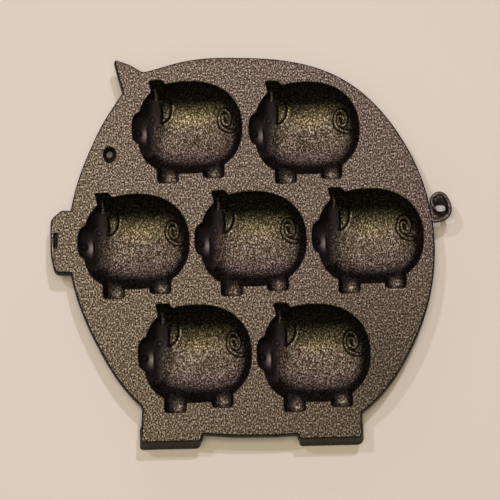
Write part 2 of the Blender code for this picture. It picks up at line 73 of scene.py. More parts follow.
# Edges of the deck: the upper one is an arc, the lower one has rings set inward and up
EDGE_RADIUS = 1.1
EDGE_DEGREES = (0, 18, 36, 54, 72, 84)
LOWER_EDGE = ((0.0, 0.5), (0.15, 0.15), (0.5, 0.0))

# Eye and nostril
EYE_AT = (-101.8, 70.1)
EYE_TOP = (4.4, 5.8)
EYE_BOTTOM = (2.3, 2.8)
EYE_SIDES = 40
EYE_DRIFT = (-0.6, 1.4)  # how far the eye's narrow end lies off its wide one
NOSTRIL_AT = (-141.5, 6.5)
NOSTRIL_SIZE = (2.9, 11.3)
NOSTRIL_DEPTH = 2.6
NOSTRIL_ROUND = 0.48  # radius of its corners as a share of its width

# Rings of the eye: share of the way to its narrow end, width added by the rounded edge, and height
EYE_RINGS = ((0, 0.9, 0.0), (0, 0.5, -0.12), (0, 0.2, -0.4),
             (0.05, 0.0, -0.8), (1, 0.0, -4.6), (1, 0.0, -DECK))

# Rings of the nostril: width added by the rounded edge and the draft, and height
NOSTRIL_RINGS = ((0.4, 0.0), (0.1, -0.15), (0.0, -0.5), (-0.3, -2.0), (-0.8, -NOSTRIL_DEPTH))

# Hollows, with the row and column of each and how far it lies off the regular grid
PITCH = (85.1, 83.9)
MIDDLE_HOLLOW = (0.8, 2.8)
HOLLOWS = (
    ("cup_upper_left", -0.5, 1, (-2.4, 1.3)),
    ("cup_upper_right", 0.5, 1, (-1.2, -1.4)),
    ("cup_middle_left", -1, 0, (0.0, 0.0)),
    ("cup_centre", 0, 0, (0.0, 0.0)),
    ("cup_middle_right", 1, 0, (0.0, 0.0)),
    ("cup_lower_left", -0.5, -1, (0.7, 0.7)),
    ("cup_lower_right", 0.5, -1, (0.5, -0.8)),
)
WALL = 3.5

# An oval is its place, its half sizes right, up, left and down, and its fullness by quarters from upper right
BOWL = ((1.5, 1.5), (38.6, 35.5, 38.0, 35.0), (2.2, 2.45, 2.9, 2.3))
BOWL_DEPTH = 22.0
BOWL_SECTION = 1.4
BOTTOM_CROWN = 1.0
LEG_DEPTH = 8.8
LEG_INSET = 3.8
LEG_ROUND = 2.6
LEG_TOP = -20.0
LEGS = ((-15.0, 15.6, -40.3), (18.5, 15.4, -37.3))  # middle, width and end of each
SNOUT = ((-30.0, 1.8), (10.9, 12.4) * 2, (3.2,) * 4)
SNOUT_DEPTH = 11.0
SNOUT_SECTION = 2.3
EAR_SLOPE = 1.15  # fall of the far ear from its tip
EAR_TIP = 39.0
EAR_DEPTHS = (1.0, 14.5)  # at the tip, and where its fall ends
EAR_INSET = 1.8
EAR_ROUND = 1.0
HOLLOW_EAR = ((-15.3, 34.4), (-19.2, 38.4), (-28.5, 38.2), (-26.6, 31.0), (-25.5, 24.0), (-17.0, 24.0))
WALL_FULLNESS = 2.1  # how a pocket's steep wall rounds into its floor
LIP = 0.6  # radius of the rounded edge round a hollow's mouth
BLEND = 1.2  # how softly the forms of a hollow run into each other
FILLET = 2.5  # fillet between a shell and the deck's underside
SHELL_TOP = DECK - 0.1  # depth at which a shell ends under the deck

# Prints in a hollow: what stands up is above 0, what is sunk is below
PRINT_MARGIN = (1.0, 3.0)  # where inside the mouth they begin, and are full
LINE_WIDTH = 0.6
CURL_POINTS = ((33.2, 1.0), (29.2, 2.2), (24.8, 5.8), (22.9, 11.2), (25.0, 17.1), (28.9, 16.6),
               (31.3, 11.4), (30.0, 6.5), (26.2, 8.3), (25.6, 13.4), (28.7, 12.9), (29.6, 8.7))
CURL_BEAD = (0.68, 0.85, 0.85)  # width, height and depth of the creases beside it
CREASE = (1.9, 0.95)  # distance and width of a bead's creases, as shares of the bead's width
LEAF = ((-20.4, 9.6), (-17.0, 11.4), (-14.6, 14.2), (-13.1, 17.8), (-12.6, 21.5), (-13.6, 26.0),
        (-17.5, 29.0), (-21.6, 28.0), (-20.8, 24.0), (-19.8, 20.0), (-19.4, 16.0), (-19.8, 12.0))
LEAF_HEIGHT = 0.4
LEAF_ROUND = 1.3
LEAF_EDGE = (1.2, 0.8)  # depth and width
LEAF_RIM = (0.6, 1.7)  # height, and distance outside the leaf
LEAF_RIM_LEFT = -18.5
LEAF_TOP = (19.0, 27.0)  # the near ear fades away upward between these
LEAF_FOLD = ((-15.0, 21.5), (-16.6, 17.8), (-17.2, 14.6))
FOLD = (0.45, 0.4)  # depth and width
CHEEK_AT = (-22.6, 17.0)
CHEEK_HALF = (4.4, 9.5)
CHEEK_HEIGHT = 2.6
CHEEK_EDGE = -19.6
CHEEK_EDGE_BEND = (18.0, 0.02)  # where its edge bends to the left, and how much
CHEEK_SOFTNESS = 0.6
EAR_RIDGE = ((-23.9, 33.5), (-23.6, 30.0), (-24.2, 26.0))
RIDGE_BEAD = (0.8, 1.1, 0.2)
SNOUT_CREASE = ((-30.5, 4.5), (-30.1, 0.5), (-30.6, -5.0))
SNOUT_CREASE_CUT = (0.7, 0.5)  # depth and width
SMALL_EYE_AT = (-26.0, 10.5)
SMALL_EYE = (1.0, 2.0, 0.35)  # radius of the button and of its ring, and the ring's depth
SMALL_NOSTRIL_AT = (-36.9, 0.3)
SMALL_NOSTRIL = (0.9, 2.1, 0.5)
BUTTON_HEIGHT = 0.5
BROW = (0.6, 3.2, 1.5)  # height, radius and soft end of the arc on the eye's left

# How fine the meshes are
LIP_LEVELS = (-0.52, -0.38, -0.22, -0.08, -0.01, 0.03, 0.12, 0.32)  # distances inside the mouth
CONTOUR_BOX = ((-55, -55), (55, 55))
CONTOUR_STEP = 0.5
HOLLOW_BOX = ((-45, -45), (45, 45))
HOLLOW_STEP = 0.8
HOLLOW_MARGIN = 0.7
PRINT_STEP = 0.36
CURL_OVAL = ((28.2, 10.4), (6.8, 10.5))
FACE_BOX = ((-41, -8), (-10, 36))
SHELL_BOX = ((-50, -50), (50, 50))
SHELL_STEP = 1.4
SHELL_RIM_STEP = 1.2
SHELL_RIM = DECK - 0.05  # depth at its mesh's edge, and beyond which its free points lie
SHELL_INNER = DECK + 0.1
DECK_BOX = ((-150, -145), (150, 150))
DECK_STEP = 5.0
RIM_MARGIN = 3.0
HOLE_MARGIN = 1.5
HEX_ROW = 0.866  # distance of a grid's rows as a share of its step
SHARP_DEG = 40

# Tail
TAIL_AT = (139.5, 24.8)
TAIL_RADII = (12.2, 9.15, 7.7, 6.4, 7.1, 10.2, 8.7, 5.0, 3.4)
TAIL_START_DEG = -135.0
TAIL_STEP_DEG = 45.0
TAIL_BEAD = (1.7, 1.2)
TAIL_BEAD_POINTS = 90
TAIL_BEAD_SIDES = 14
TAIL_SINK = 2.4
TAIL_RIM_END_DEG = 160.0
TAIL_RIM_POINTS = 60
TAIL_WEB_TOP = -2.0
TAIL_UNDERSIDE = -5.6
TAIL_TUCK = 1.4
FUNNEL = (TAIL_AT, (6.6, 8.6) * 2, 2.0)  # an oval with one fullness, as the hole is
TAIL_HOLE = ((139.4, 24.5), (3.8, 2.4) * 2, 3.0)
FUNNEL_SIDES = 48
TAIL_HOLE_LENGTH = 2.0
TAIL_VOXEL = 0.25
TAIL_SMOOTHING = (0.5, 4)

# Feet: name, outer and inner side, and the radii of its two outer corners
FEET = (("front_foot", -80.8, -38.6, (2.0, 3.6)), ("rear_foot", 76.0, 31.3, (5.0, 2.0)))
FOOT_WALL = 4.0
FOOT_RETURN = 12.0
FOOT_RADII = (0.3, 1.0)  # of its ends, and of its corners inside
FOOT_SPREAD = ((0.0, 0.9), (0.45, 1.3), (0.72, 2.0), (0.93, 3.0), (1.0, 2.7))
FOOT_SIDE_SHARE = 0.8
FOOT_INNER_LEAN = 1.8
FOOT_RINGS = (0.0, 0.15, 0.3, 0.45, 0.58, 0.7, 0.8, 0.88, 0.93, 0.965, 0.985, 1.0)
FOOT_TUCK = 0.25  # how far the lowest ring draws in
FOOT_ROOT = 0.6  # how far a foot runs up into the deck
FOOT_SHARP_DEG = 35

# Painted light and shade of a hollow's floor; a spot is given as its strength, place and half sizes
LIT = ((6.0, -1.5), (26.0, 20.0, 25.0, 17.5), (3.0,) * 4)
LIT_FADE = (0.6, 1.4)  # shares of the way to the lit oval's edge
LIT_BRIGHT = 0.94
LIT_LOWEST = -30.0
# Painted shade that dims the middle of the painted light
PAINTED_SHADE_SPOTS = ((0.42, (4.0, -3.0), (16.0, 12.0)),)
WALL_FADE = (0.80, 0.90)  # shares of the way to the bowl's edge where the walls' painted shade sets in
# Patches of painted light: on the floor near the face, and on the floors of the legs
FLOOR_SPOTS = ((0.25, (-17.0, -8.0), (5.0, 9.0)), (0.35, (-16.0, 15.5), (2.2, 5.5)))
LEG_SPOTS = ((0.72, (-13.0, -36.0), (3.4, 4.2)), (0.75, (19.3, -33.0), (3.0, 4.0)))
LEG_FADE = (25.5, 30.0)
LEAST_BRIGHT = 0.03
UPPER_FLOOR = (8.0, 15.0)
UPPER_FLOOR_TILT = (-0.0028, 0.0033)  # change of its painted light over the pan
FLOOR_RELIEF = (1.8, 0.05, 1.5)  # strength of the painted light and shade on the lines, and least and most brightness
LEAF_GLINT = (1.3, 1.6)  # brightness of the painted highlight on the line outside the near ear, and its distance
LEAF_GLINT_LEFT = (-18.0, -16.0)
LEAF_GLINT_TOP = (20.0, 24.5)
SKIN = 0.05  # depth to which a surface counts as its upper face
# Painted shade on the rounded lip of a mouth, and on the shells' undersides
LIP_BRIGHT = 0.4
SHELL_BRIGHT = 0.3

# Painted light and shade of the little pig's face, and where its iron is smooth; a change is given as its
# amount and the values between which it sets in
FACE_EDGE = ((-20.5, -28.5), (1.0, 7.0))  # its right edge's place and softness, above and below the eye
BELOW_EYE = (4.5, 9.5)
FACE_AT = (-31.5, 9.0)
FACE_HALVES = (13.5, 27.0)
FACE_FADE = (0.84, 1.06)
FACE_BRIGHT = 0.22
CHEEK_CHANGE = (1.3, -30.0, -20.0)
BROW_CHANGE = (-0.5, 8.0, 16.0)
EAR_CHANGE = (-0.8, 22.0, 28.0)
FACE_WALL_SHARE = 0.4
FACE_WALL_FADE = (0.20, 0.50)  # upward parts of the normal, between which the painted shade of steep walls lifts
FACE_RELIEF = (1.4, 0.2, 2.0)
# Painted highlight on the snout, which is also cooler in colour
SNOUT_PATCH = ((1.0, (-32.0, -1.6), (2.3, 4.2)),)
PATCH_BRIGHT = 3.6
PATCH_RIGHT = (-31.2, -30.6)
PATCH_NOSTRIL = (2.4, 3.4)
PATCH_COOLNESS = 1.2

# Warmth of a hollow's colour
HOLLOW_WARMTH = 0.57
TOP_WARMTH = (-0.5, 0.0, 20.0)
BELLY_WARMTH = (0.43, 2.0, 16.0)
LEG_WARMTH = (-0.5, 28.0, 32.0)

# Painted light and shade of the deck, the tail and the feet, and their finish and colour
DECK_BRIGHT = 0.66
# Painted change of the reflected light over the deck, and a painted darker patch at its lower right
DECK_TILT = (-0.16 / 140, 0.20 / 140)
DECK_PAINTED_SHADE_SPOTS = ((0.16, (85.0, -85.0), (45.0, 45.0)),)
# Painted shade on the deck's sides and in the eye's hole
SIDE_BRIGHT = 0.06
EYE_SIDE = (7.0, 0.07)  # reach round the eye's middle, and brightness of its painted shade
DECK_WARMTH = 0.60
DECK_WARMTH_TILT = 0.25 / 180
DECK_WARMTH_WAVE = (0.1, 31.0, 27.0)
TAIL_BRIGHT = 1.6
# Painted shade on the bead's steep sides and deep in the funnel
TAIL_WALL_SHARE = 0.07
TAIL_WALL_FADE = (0.60, 0.92)
FUNNEL_CHANGE = (-0.9, 1.7, 2.7)
TAIL_SMOOTH = 0.55
TAIL_WARMTH = 0.8
# Painted shade at the top of a foot, and painted light rising towards the ground
FOOT_BRIGHT = 0.03
FOOT_CHANGE = (0.14, 0.2, 0.9)
FOOT_GLINT = (0.35, 0.93, 0.03)  # brightness of a painted highlight line, and its place and half size as shares of the way to the ground
FOOT_WARMTH = 0.5

# Iron: colours lie along a ramp, each after its place on it
GRAIN_STRETCH = (1.12, 0.80, 1.0)
GRAIN_SCALE = 900.0
STAIN_SCALE = 420.0
# Grain of the iron: the lightest specks are painted glints
SPECK_COLOURS = ((0.30, (0.024, 0.0145, 0.0062)), (0.44, (0.087, 0.061, 0.041)),
                 (0.56, (0.210, 0.160, 0.126)), (0.68, (0.61, 0.50, 0.435)))
SMOOTH_COLOURS = ((0.30, (0.044, 0.036, 0.031)), (0.70, (0.056, 0.046, 0.040)))
STAIN_COLOURS = ((0.38, (0.985, 0.965, 0.875)), (0.62, (1.0, 0.93, 0.935)))
WARMTH_COLOURS = ((0.0, (0.93, 1.0, 0.66)), (0.5, (1.0, 0.99, 0.90)), (1.0, (1.0, 0.92, 1.02)))
IRON_SHINE = (0.5, 0.05)  # roughness and specular level
IRON_TINT = (1.0, 0.85, 0.72, 1)
GRAIN_DEPTH = 0.3
GRAIN_BUMP = (0.0, 1.0, 0.7, 0.06)  # from rough to smooth iron, and its strength on each
GLEAM = (0.15, 0.60, 0.0, 0.30)  # from dark to bright painted light, and how metallic each is

# Floor, with its sizes in metres
FLOOR_HALF = 3.0
FLOOR_DROP = 0.0002
FLOOR_SHINE = (0.8, 0.2)
FLOOR_CLOUDS = (6.0, 2.0)  # scale and detail
FLOOR_FOLDS = (9.0, 3.0)
FLOOR_BUMP = (0.004, 0.25)  # height and strength of the folds
FLOOR_COLOURS = ((0.0, (0.690, 0.578, 0.500)), (1.0, (0.720, 0.606, 0.527)))

# Light, with each lamp's place and size in metres, its power and its colour
ROOM_COLOUR = (1.0, 0.97, 0.93, 1)
ROOM_STRENGTH = 0.05
LAMPS = (
    ("key", (-0.05, -0.20, 1.8), (0.7, 0.7), 17.7, (1.0, 0.955, 0.76)),
    ("north", (-0.2, 2.2, 1.0), (2.4, 1.2), 6.0, (1.0, 0.88, 0.95)),
    ("west", (-2.3, 0.3, 0.9), (1.8, 1.2), 3.4, (1.0, 0.96, 0.85)),
    ("south", (0.1, -1.3, 1.9), (1.6, 0.9), 3.4, (0.95, 1.0, 0.70)),
    ("small_right", (0.25, 0.50, 1.5), (0.06, 0.06), 8.0, (0.75, 0.82, 1.0)),
    ("small_left", (-0.50, 0.38, 1.5), (0.08, 0.08), 5.3, (0.77, 0.87, 1.0)),
)

# Camera
CAMERA_TILT_DEG = 12.0
CAMERA_ROLL_DEG = -1.4
CAMERA_DISTANCE = 1168.0
CAMERA_AIM = (0, -3.0, 0)
CAMERA_SHIFT = (-0.5, -1.5)  # in pixels
SENSOR = 36.0
PICTURE_WIDTH = 500
PIXEL = 0.725  # size on the deck of one pixel of the photograph


# Plan curves

def catmull_rom(a, b, c, d, t):
    square, cube = 2 * a - 5 * b + 4 * c - d, 3 * b - a - 3 * c + d
    return 0.5 * (2 * b + (c - a) * t + square * t ** 2 + cube * t ** 3)


def value_along(values, place):
    """Value at a place along an open list, on a smooth curve through its values."""
    last = len(values) - 1
    first = min(math.floor(place), last - 1)
    near = [values[min(max(first + step, 0), last)] for step in (-1, 0, 1, 2)]
    return catmull_rom(*near, place - first)


def curve_through(points, steps):
    """Points of a smooth open curve through some points."""
    count = (len(points) - 1) * steps
    return [tuple(value_along(values, i / steps) for values in zip(*points)) for i in range(count + 1)]


def body_arc(limits):
    """Corners without rounding along the body, from one direction to another."""
    start, end = limits
    count = max(1, round((end - start) / BODY_STEP_DEG))
    corners = []
    for i in range(count + 1):
        degrees = start + (end - start) * i / count
        place = degrees / 360.0 * len(BODY_RADII)
        first = math.floor(place)
        near = [BODY_RADII[(first + step) % len(BODY_RADII)] for step in (-1, 0, 1, 2)]
        radius = catmull_rom(*near, place - first)
        angle = math.radians(degrees)
        corners.append((radius * math.cos(angle), radius * math.sin(angle), 0.0))
    return corners


def corner_turn(corners, i):
    """Directions from a corner to its neighbours, the lesser distance, and the signed turn."""
    here = Vector(corners[i][:2])
    back = Vector(corners[i - 1][:2]) - here
    ahead = Vector(corners[(i + 1) % len(corners)][:2]) - here
    turn = math.pi - back.angle(ahead)
    leftward = ahead.x * back.y - ahead.y * back.x
    room = min(back.length, ahead.length)
    return back.normalized(), ahead.normalized(), room, math.copysign(turn, leftward)


def round_corners(corners):
    """Closed outline through corners, each rounded by an arc."""
    outline = []
    for i, (x, y, radius) in enumerate(corners):
        back, ahead, room, turn = corner_turn(corners, i)
        if radius == 0 or abs(turn) < 1e-4:
            outline.append((x, y))
            continue
        reach = min(radius * math.tan(abs(turn) / 2), CORNER_ROOM * room)
        arc_radius = reach / math.tan(abs(turn) / 2)
        centre = Vector((x, y)) + (back + ahead).normalized() * math.hypot(reach, arc_radius)
        spoke = Vector((x, y)) + back * reach - centre
        count = max(1, math.ceil(math.degrees(abs(turn)) / ARC_STEP_DEG))
        for step in range(count + 1):
            point = centre + Matrix.Rotation(turn * step / count, 2) @ spoke
            outline.append((point.x, point.y))
    return outline


def move_corners(corners, distance):
    """Corners of an anticlockwise outline, moved outward by a distance."""
    moved = []
    for i, (x, y, radius) in enumerate(corners):
        back, ahead, _, turn = corner_turn(corners, i)
        outward = Vector((ahead.y - back.y, back.x - ahead.x)).normalized()
        place = Vector((x, y)) + outward * distance / math.cos(turn / 2)
        if radius > 0:
            radius = max(radius + math.copysign(distance, turn * distance), LEAST_RADIUS)
        moved.append((place.x, place.y, radius))
    return moved


def deck_outline(distance):
    corners = [*body_arc(BACK_ARC), *EAR_CORNERS, *body_arc(FACE_ARC), *SNOUT_CORNERS, *body_arc(CHEST_ARC),
               *FRONT_LEG_CORNERS, BELLY_CORNER, *REAR_LEG_CORNERS]
    return round_corners(move_corners(corners, distance))


def oval(place, halves, fullness, sides):
    """Oval whose right, up, left and down half sizes are set apart."""
    right, up, left, down = halves
    points = []
    for i in range(sides):
        angle = 2 * math.pi * i / sides
        across, along = math.cos(angle), math.sin(angle)
        half_x = right if across > 0 else left
        half_y = up if along > 0 else down
        reach = (abs(across / half_x) ** fullness + abs(along / half_y) ** fullness) ** (-1 / fullness)
        points.append((place[0] + across * reach, place[1] + along * reach))
    return points


# Fields on the plan

def share_between(value, low, high):
    """Straight step from 0 to 1 between two values."""
    return np.clip((value - low) / (high - low), 0, 1)


def eased(value, low, high):
    """Smooth step from 0 to 1 between two values."""
    share = share_between(value, low, high)
    return share * share * (3 - 2 * share)


def change(value, amount, low, high):
    """Change that sets in between two values."""
    return amount * eased(value, low, high)


def soft_line(distance, width, power=2):
    """1 on a line, and near 0 beyond its width."""
    return np.exp(-(distance / width) ** power)


def spots(x, y, table):
    """Sum of soft spots, each given as its strength, place and half sizes."""
    total = 0.0
    for strength, (spot_x, spot_y), (half_x, half_y) in table:
        total = total + strength * np.exp(-((x - spot_x) / half_x) ** 2 - ((y - spot_y) / half_y) ** 2)
    return total


def soft_max(a, b, softness):
    """Larger of two fields, rounded where they are nearly equal."""
    share = share_between(a - b, -softness, softness)
    return b + (a - b) * share + softness * share * (1 - share)


def point_distance(x, y, place):
    return np.hypot(x - place[0], y - place[1])


def oval_share(x, y, place, halves, fullness):
    """Share of the way from the middle of an oval to its edge."""
    right, up, left, down = halves
    across, along = x - place[0], y - place[1]
    half_x = np.where(across > 0, right, left)
    half_y = np.where(along > 0, up, down)
    upper = np.where(across > 0, fullness[0], fullness[1])
    lower = np.where(across > 0, fullness[3], fullness[2])
    power = np.where(along > 0, upper, lower)
    return (np.abs(across / half_x) ** power + np.abs(along / half_y) ** power + 1e-12) ** (1 / power)


def swell_fields(x, y, form, depth, section, grow):
    """Distance inside a swell's mouth, and its depth."""
    place, halves, fullness = form
    share = oval_share(x, y, place, [half + grow for half in halves], fullness)
    inside = (1 - share) * point_distance(x, y, place) / np.maximum(share, 0.05)
    return inside, (depth + grow) * np.maximum(0, 1 - share ** 2) ** (1 / section)


def line_distance(x, y, line):
    """Distance to an open line of points."""
    nearest = np.full(np.shape(x), 1e9)
    for (ax, ay), (bx, by) in zip(line, line[1:]):
        along_x, along_y = bx - ax, by - ay
        t = np.clip(((x - ax) * along_x + (y - ay) * along_y) / (along_x ** 2 + along_y ** 2 + 1e-12), 0, 1)
        nearest = np.minimum(nearest, np.hypot(x - ax - along_x * t, y - ay - along_y * t))
    return nearest


def polygon_inside(x, y, corners):
    """Signed distance inside a polygon."""
    outline = [*corners, corners[0]]
    inside = np.zeros(np.shape(x), dtype=bool)
    for (ax, ay), (bx, by) in zip(outline, outline[1:]):
        if ay != by:
            inside ^= ((y > ay) != (y > by)) & (x < ax + (bx - ax) * (y - ay) / (by - ay))
    nearest = line_distance(x, y, outline)
    return np.where(inside, nearest, -nearest)


def pocket_inside(x, y, corners, radius, grow):
    """Distance inside a pocket's mouth, whose corners are rounded."""
    core = [(cx, cy) for cx, cy, _ in move_corners([(*corner, 0.0) for corner in corners], -radius)]
    return polygon_inside(x, y, core) + radius + grow


def wall_share(inside, inset):
    """Share of a pocket's depth near its mouth: a steep wall rounded into a flat floor."""
    fall = np.clip(1 - inside / inset, 0, 1)
    return np.where(inside > 0, (1 - fall ** WALL_FULLNESS) ** 0.5, 0.0)


def curve_distance(x, y, points, steps=6):
    return line_distance(x, y, curve_through(points, steps))


# Prints in the hollow

def bead_profile(distance, width, height, crease):
    """Bead with a crease along both of its sides."""
    reach, share = CREASE
    beside = soft_line(distance - reach * width, share * width)
    return height * soft_line(distance, width, 4) - crease * beside


def button_profile(distance, radius, ring, depth):
    """Round button inside a sunk ring."""
    return BUTTON_HEIGHT * soft_line(distance, radius, 4) - depth * soft_line(distance - ring, LINE_WIDTH)


def cheek_height(x, y):
    """Height of the cheek beside the near ear."""
    across = (x - CHEEK_AT[0]) / CHEEK_HALF[0]
    along = (y - CHEEK_AT[1]) / CHEEK_HALF[1]
    start, bend = CHEEK_EDGE_BEND
    edge = CHEEK_EDGE - bend * np.maximum(y - start, 0) ** 2
    beside = eased(x - edge, -CHEEK_SOFTNESS, CHEEK_SOFTNESS)
    return CHEEK_HEIGHT * np.exp(-across ** 2 - along ** 4) * (1 - beside)


def leaf_inside(x, y):
    """Distance inside the near ear's outline."""
    return polygon_inside(x, y, curve_through(LEAF + LEAF[:1], 4))


def leaf_height(x, y):
    """Height of the near ear: a leaf with a sunk line round it, a raised one outside, and a fold."""
    leaf = leaf_inside(x, y)
    (edge_depth, edge_width), (rim_height, rim_distance) = LEAF_EDGE, LEAF_RIM
    raised = LEAF_HEIGHT * (1 - np.exp(-np.maximum(leaf, 0) / LEAF_ROUND))
    raised -= edge_depth * soft_line(leaf, edge_width)
    raised += rim_height * soft_line(leaf + rim_distance, LINE_WIDTH) * (x > LEAF_RIM_LEFT)
    fold_depth, fold_width = FOLD
    fold = fold_depth * soft_line(curve_distance(x, y, LEAF_FOLD), fold_width)
    return raised * (1 - share_between(y, *LEAF_TOP)) - fold


def eye_height(x, y):
    """Height of the small eye, and of the brow's arc on its left."""
    distance = point_distance(x, y, SMALL_EYE_AT)
    height, radius, fade = BROW
    brow = height * soft_line(distance - radius, LINE_WIDTH) * share_between(SMALL_EYE_AT[0] - x, 0, fade)
    return button_profile(distance, *SMALL_EYE) + brow


def line_height(x, y):
    """Height of the drawn lines of tail, ears, eye, nostril and snout."""
    raised = bead_profile(curve_distance(x, y, CURL_POINTS, 8), *CURL_BEAD)
    raised += leaf_height(x, y)
    raised += bead_profile(curve_distance(x, y, EAR_RIDGE), *RIDGE_BEAD)
    raised += eye_height(x, y)
    raised += button_profile(point_distance(x, y, SMALL_NOSTRIL_AT), *SMALL_NOSTRIL)
    depth, width = SNOUT_CREASE_CUT
    return raised - depth * soft_line(curve_distance(x, y, SNOUT_CREASE), width)


def has_print(x, y):
    """Where the mesh has to be fine: at the curl and on the face."""
    (curl_x, curl_y), (half_x, half_y) = CURL_OVAL
    (left, bottom), (right, top) = FACE_BOX
    curl = np.hypot((x - curl_x) / half_x, (y - curl_y) / half_y) < 1
    return curl | (x > left) & (x < right) & (y > bottom) & (y < top)


# The hollow and its shell

def far_ear_fields(x, y, grow):
    """Distance inside the far ear's mouth, and its depth, which falls from the ear's tip."""
    inside = pocket_inside(x, y, HOLLOW_EAR, EAR_ROUND, grow)
    least, most = EAR_DEPTHS
    depth = np.minimum(least + EAR_SLOPE * np.maximum(EAR_TIP + grow - y, 0), most)
    return inside, (depth + grow) * wall_share(inside, EAR_INSET)


def leg_fields(x, y, leg, grow):
    """Distance inside a leg's mouth, and its depth."""
    middle, width, end = leg
    left, right = middle - width / 2, middle + width / 2
    corners = ((left, end), (right, end), (right, LEG_TOP), (left, LEG_TOP))
    inside = pocket_inside(x, y, corners, LEG_ROUND, grow)
    return inside, (LEG_DEPTH + grow) * wall_share(inside, LEG_INSET)


def pig_fields(x, y, grow, crown):
    """Distance inside the mouth and depth of the little pig, or of its shell's outside."""
    forms = [swell_fields(x, y, BOWL, BOWL_DEPTH + crown, BOWL_SECTION, grow),
             swell_fields(x, y, SNOUT, SNOUT_DEPTH, SNOUT_SECTION, grow),
             far_ear_fields(x, y, grow)]
    forms += [leg_fields(x, y, leg, grow) for leg in LEGS]
    inside, depth = forms[0]
    for other_inside, other_depth in forms[1:]:
        softness = np.clip(np.maximum(depth, other_depth), 0.01, BLEND)
        depth = soft_max(depth, other_depth, softness)
        inside = soft_max(inside, other_inside, BLEND)
    return inside, depth


def mouth_inside(x, y):
    return pig_fields(x, y, 0.0, 0.0)[0]


def hollow_height(x, y):
    """Height of the hollow's surface, from the rounded lip down to the floor."""
    inside, depth = pig_fields(x, y, 0.0, 0.0)
    depth = depth - (cheek_height(x, y) + line_height(x, y)) * share_between(inside, *PRINT_MARGIN)
    lip = np.clip(inside + LIP, 0, LIP)
    lip_drop = LIP - np.sqrt(LIP ** 2 - lip ** 2)
    return -np.where(inside < 0, lip_drop, LIP + depth * (1 - LIP / BOWL_DEPTH))


def shell_depth(x, y):
    """Depth of the shell's outside, with its fillet to the deck and its flat bottom."""
    _, depth = pig_fields(x, y, WALL, BOTTOM_CROWN)
    return np.minimum(soft_max(depth, np.full_like(depth, SHELL_TOP), FILLET), PAN_AT[2])


# Meshes

def crossings_of(values, level):
    """Neighbours of each crossing of a level on the edges of a grid."""
    high = values > level
    links = {}
    above = high[:-1, :-1] * 1 + high[1:, :-1] + high[:-1, 1:] + high[1:, 1:]
    for row, column in np.argwhere((above > 0) & (above < 4)):
        sides = (((row, column), (row, column + 1)), ((row, column + 1), (row + 1, column + 1)),
                 ((row + 1, column), (row + 1, column + 1)), ((row, column), (row + 1, column)))
        crossed = [side for side in sides if high[side[0]] != high[side[1]]]
        for a, b in zip(crossed[::2], crossed[1::2]):
            links.setdefault(a, []).append(b)
            links.setdefault(b, []).append(a)
    return links


def longest_contour(field, level, low, high, step):
    """Points of the longest closed line on which a field has a value."""
    xs, ys = np.arange(low[0], high[0], step), np.arange(low[1], high[1], step)
    values = field(*np.meshgrid(xs, ys))
    links = crossings_of(values, level)
    lines = []
    while links:
        side = next(iter(links))
        line = []
        while side in links:
            following = links.pop(side)
            line.append(side)
            side = next((other for other in following if other in links), None)
        lines.append(line)
    points = []
    for a, b in max(lines, key=len):
        share = (level - values[a]) / (values[b] - values[a])
        points.append((xs[a[1]] + (xs[b[1]] - xs[a[1]]) * share, ys[a[0]] + (ys[b[0]] - ys[a[0]]) * share))
    return np.array(points)


def on_level(points, field, level):
    """Moves points along the field's slope until they lie on a level."""
    x, y = points.T.copy()
    nudge = 0.01
    furthest = 0.3
    for _ in range(6):
        value = field(x, y)
        slope_x = (field(x + nudge, y) - value) / nudge
        slope_y = (field(x, y + nudge) - value) / nudge
        steep = np.maximum(slope_x ** 2 + slope_y ** 2, 0.05)
        x = x + np.clip((level - value) * slope_x / steep, -furthest, furthest)
        y = y + np.clip((level - value) * slope_y / steep, -furthest, furthest)
    return np.stack([x, y], axis=1)


def evenly(points, spacing):
    """A closed line's points, set out again at an even distance."""
    closed = np.vstack([points, points[:1]])
    lengths = np.hypot(*np.diff(closed, axis=0).T)
    along = np.concatenate([[0], np.cumsum(lengths)])
    count = round(along[-1] / spacing)
    wanted = along[-1] * np.arange(count) / count
    return np.stack([np.interp(wanted, along, closed[:, axis]) for axis in (0, 1)], axis=1)


def level_line(field, level, spacing):
    """Evenly spaced points round the hollow's plan on which a field has a value."""
    rough = longest_contour(field, level, *CONTOUR_BOX, CONTOUR_STEP)
    return on_level(evenly(rough, spacing), field, level)


def is_within(points, loop):
    """Whether points lie inside a closed line."""
    return polygon_inside(*points.T, loop) > 0


def hex_grid(low, high, step):
    """Points of a triangular grid."""
    points = []
    for i, y in enumerate(np.arange(low[1], high[1], step * HEX_ROW)):
        shift = step / 2 if i % 2 else 0
        points += [(x + shift, y) for x in np.arange(low[0], high[0], step)]
    return np.array(points)


def triangulated(loops, loose):
    """Points and triangles of a sheet through closed lines, of which the first is its rim."""
    points = []
    edges = []
    for loop in loops:
        start = len(points)
        points += [Vector(p) for p in loop]
        edges += [(start + i, start + (i + 1) % len(loop)) for i in range(len(loop))]
    points += [Vector(p) for p in loose]
    made = delaunay_2d_cdt(points, edges, [], 0, 1e-5)
    plan = np.array([tuple(p) for p in made[0]])
    triangles = np.array([tuple(f) for f in made[2]])
    return plan, triangles[is_within(plan[triangles].mean(axis=1), loops[0])]


def placed(name, data):
    """Object in the scene that shows some data."""
    item = bpy.data.objects.new(name, data)
    bpy.context.scene.collection.objects.link(item)
    return item


